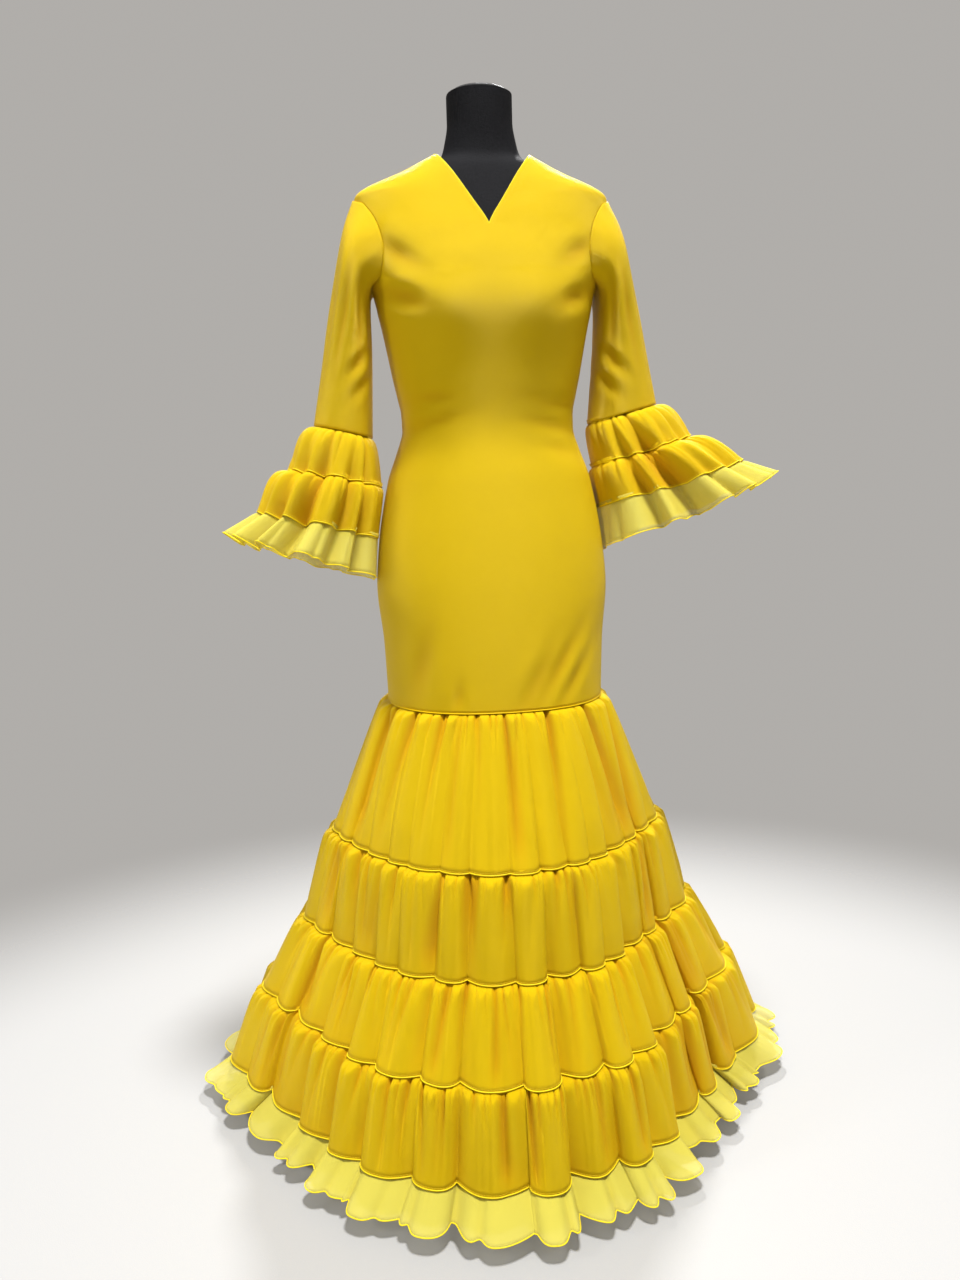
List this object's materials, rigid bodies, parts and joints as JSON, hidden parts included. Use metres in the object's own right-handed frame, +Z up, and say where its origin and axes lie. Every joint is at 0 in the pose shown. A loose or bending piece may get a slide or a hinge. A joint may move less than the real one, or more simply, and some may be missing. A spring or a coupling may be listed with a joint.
{
  "type": "flamenco dress on a dress form",
  "caption": "Yellow mermaid-cut flamenco dress with gathered skirt tiers and flounced cuffs, standing on a plain headless, armless dress form.",
  "frame": {"origin": "middle of the underside of the form's base, on the surface it stands on", "axes": "+Z up; the dress faces -Y; the wearer's left side is at +X"},
  "size_m": [0.992, 0.9317, 1.5544],
  "materials": {
    "yellow_cloth": "smooth matt satin weave",
    "yellow_organza": "sheer crisp organza with a rolled edge",
    "zip_yellow": "woven zip tape",
    "zip_steel": "satin metal",
    "form_black": "close black jersey stretched over a hard form",
    "stand_black": "satin black paint"
  },
  "bodies": {
    "dress": {"front": "yellow_cloth", "back_left": "yellow_cloth", "back_right": "yellow_cloth", "sleeve_left": "yellow_cloth", "sleeve_right": "yellow_cloth", "cuff_left_upper_flounce": "yellow_cloth", "cuff_left_lower_flounce": "yellow_cloth", "cuff_right_upper_flounce": "yellow_cloth", "cuff_right_lower_flounce": "yellow_cloth", "skirt_tier_1": "yellow_cloth", "skirt_tier_2": "yellow_cloth", "skirt_tier_3": "yellow_cloth", "skirt_tier_4": "yellow_cloth", "cuff_left_frill": "yellow_organza", "cuff_right_frill": "yellow_organza", "skirt_frill": "yellow_organza", "zip_tape": "zip_yellow", "zip_slider": "zip_steel", "form_torso": "form_black", "form_neck_cap": "stand_black", "form_pole": "stand_black", "form_base": "stand_black"},
    "pull_tab": {"zip_pull_tab": "zip_steel"}
  },
  "joints": [
    {"name": "pull_tab_swing", "type": "hinge", "parent": "dress", "child": "pull_tab", "pos_m": [0, 0.08964, 1.40566], "axis": [1, 0, 0], "range_deg": [0, 140]}
  ]
}
